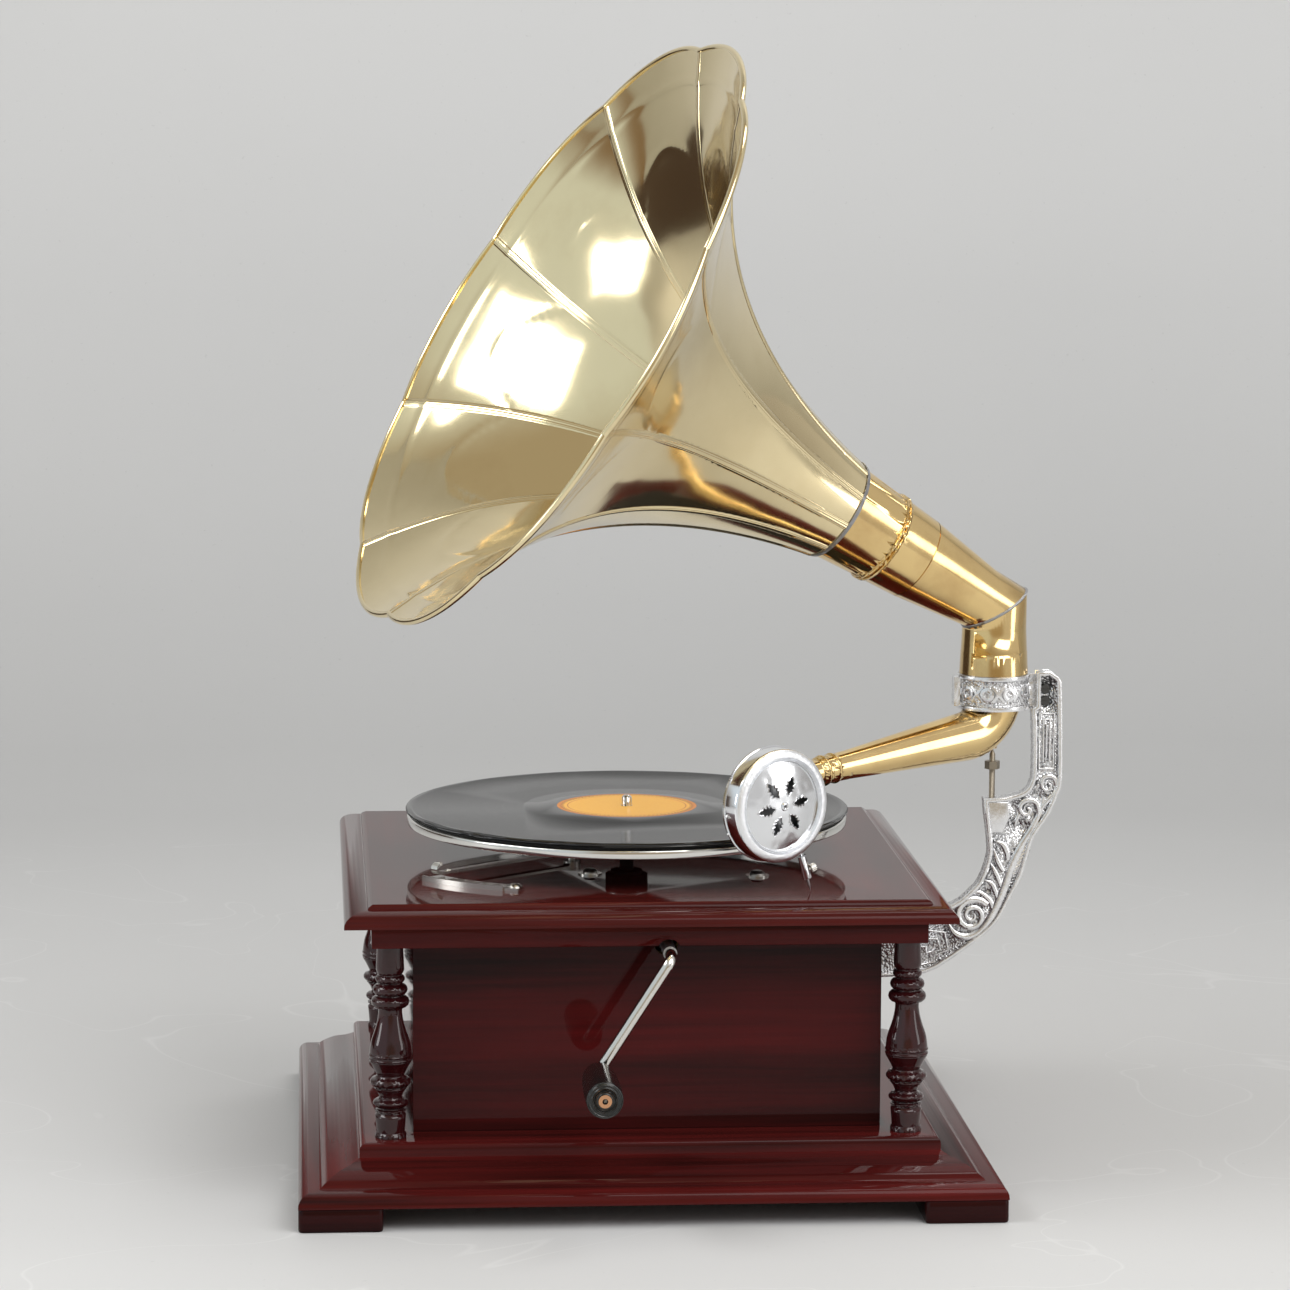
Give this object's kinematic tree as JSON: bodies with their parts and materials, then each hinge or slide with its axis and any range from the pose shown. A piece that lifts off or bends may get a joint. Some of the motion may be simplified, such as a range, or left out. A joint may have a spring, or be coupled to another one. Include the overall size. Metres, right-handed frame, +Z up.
{
  "type": "horn gramophone",
  "caption": "Spring-driven tabletop gramophone: square moulded wooden case with turned corner columns, a petalled brass horn on a cast bracket, tonearm, soundbox, turntable and side crank.",
  "frame": {"origin": "centre of the square case on the floor, midway between the undersides of the corner feet", "axes": "+Z up; -Y towards the side with the crank; +X towards the bracket that carries the horn, -X towards the side that the horn opens to"},
  "size_m": [0.4341, 0.4375, 0.6234],
  "materials": {
    "mahogany": "glossy dark red-brown varnish with streaked grain",
    "mahogany_dark": "satin dark red-brown varnish",
    "horn_brass": "polished sheet brass",
    "solder": "dull grey solder",
    "plated_brass": "polished, warm nickel-like tone",
    "cast_metal": "bright relief with dark recesses",
    "chrome": "polished",
    "nickel": "polished nickel",
    "steel": "brushed",
    "gear_brass": "machined",
    "rubber": "matt black",
    "felt": "matt black felt",
    "shellac": "glossy black with fine grooves",
    "paper_label": "orange paper",
    "black_lacquer": "glossy black",
    "screw_steel": "bright screw heads"
  },
  "bodies": {
    "case": {"foot_front_left": "mahogany_dark", "foot_front_right": "mahogany_dark", "foot_back_left": "mahogany_dark", "foot_back_right": "mahogany_dark", "plinth_moulding": "mahogany", "base_board": "mahogany_dark", "panel_front": "mahogany", "panel_back": "mahogany", "panel_left": "mahogany", "panel_right": "mahogany", "column_front_left": "mahogany", "column_front_right": "mahogany", "column_back_left": "mahogany", "column_back_right": "mahogany", "frieze_rail": "mahogany", "lid": "mahogany", "bracket": "cast_metal", "bracket_screws": "screw_steel", "collar": "cast_metal", "collar_screws": "screw_steel", "pivot_rod": "nickel", "pivot_nut": "nickel", "motor_plates": "steel", "motor_pillars": "steel", "shaft_bearings": "gear_brass", "motor_screws": "screw_steel", "screw_washers": "gear_brass", "rubber_spacers": "rubber", "scale_plate": "gear_brass"},
    "horn": {"horn_elbow": "horn_brass", "elbow_solder": "solder", "horn_neck": "horn_brass", "horn_bell": "horn_brass"},
    "arm": {"tonearm": "plated_brass"},
    "soundbox": {"gooseneck": "plated_brass", "soundbox_back": "chrome", "soundbox_shell": "chrome", "gaskets": "rubber", "diaphragm": "steel", "soundbox_grille": "chrome", "needle_holder": "chrome", "needle": "steel"},
    "thumb_screw": {"needle_screw": "nickel"},
    "turntable": {"platter": "steel", "felt_mat": "felt", "record": "shellac", "record_label": "paper_label", "spindle": "steel"},
    "barrel": {"spring_barrel": "gear_brass", "great_wheel": "gear_brass", "mainspring": "steel"},
    "winding": {"barrel_arbor": "steel", "crown_wheel": "gear_brass"},
    "crank": {"winding_shaft": "steel", "crank_rod": "nickel"},
    "grip": {"crank_grip": "black_lacquer"},
    "governor": {"governor_shaft": "steel", "governor_weights": "gear_brass"},
    "lever": {"speed_lever": "gear_brass", "brake_pad": "rubber"}
  },
  "joints": [
    {"name": "turntable_spin", "type": "hinge", "parent": "case", "child": "turntable", "pos_m": [-0.003, 0, 0.18], "axis": [0, 0, 1], "continuous": true},
    {"name": "barrel_turn", "type": "hinge", "parent": "case", "child": "barrel", "pos_m": [0.0097, -0.04003, 0.11], "axis": [0, 0, 1], "continuous": true},
    {"name": "governor_spin", "type": "hinge", "parent": "case", "child": "governor", "pos_m": [-0.019, 0.024, 0.135], "axis": [0, 1, 0], "continuous": true},
    {"name": "crank_turn", "type": "hinge", "parent": "case", "child": "crank", "pos_m": [0.0097, -0.11, 0.1415], "axis": [0, 1, 0], "continuous": true},
    {"name": "winding_turn", "type": "hinge", "parent": "case", "child": "winding", "pos_m": [0.0097, -0.04003, 0.133], "axis": [0, 0, 1], "continuous": true},
    {"name": "crank_grip_spin", "type": "hinge", "parent": "crank", "child": "grip", "pos_m": [-0.03001, -0.205, 0.07965], "axis": [0, -1, 0], "continuous": true},
    {"name": "horn_swivel", "type": "hinge", "parent": "case", "child": "horn", "pos_m": [0.2053, 0, 0.275], "axis": [0, 0, 1], "continuous": true},
    {"name": "tonearm_swing", "type": "hinge", "parent": "case", "child": "arm", "pos_m": [0.2053, 0, 0.265], "axis": [0, 0, 1], "range_deg": [-4, 55]},
    {"name": "soundbox_lift", "type": "hinge", "parent": "arm", "child": "soundbox", "pos_m": [0.10309, -0.06288, 0.22551], "axis": [-0.8474, -0.5213, -0.1011], "range_deg": [0, 105]},
    {"name": "needle_screw_turn", "type": "hinge", "parent": "soundbox", "child": "thumb_screw", "pos_m": [0.08515, -0.12628, 0.18027], "axis": [0.8136, 0.5006, 0.2957], "range_deg": [-360, 360]},
    {"name": "speed_lever_swing", "type": "hinge", "parent": "case", "child": "lever", "pos_m": [-0.035, -0.017, 0.16], "axis": [0, 0, 1], "range_deg": [0, 24]}
  ],
  "couplings": [
    {"joint": "barrel_turn", "follows": "turntable_spin", "ratio": -0.16667},
    {"joint": "governor_spin", "follows": "turntable_spin", "ratio": 24},
    {"joint": "winding_turn", "follows": "crank_turn", "ratio": -0.25}
  ]
}
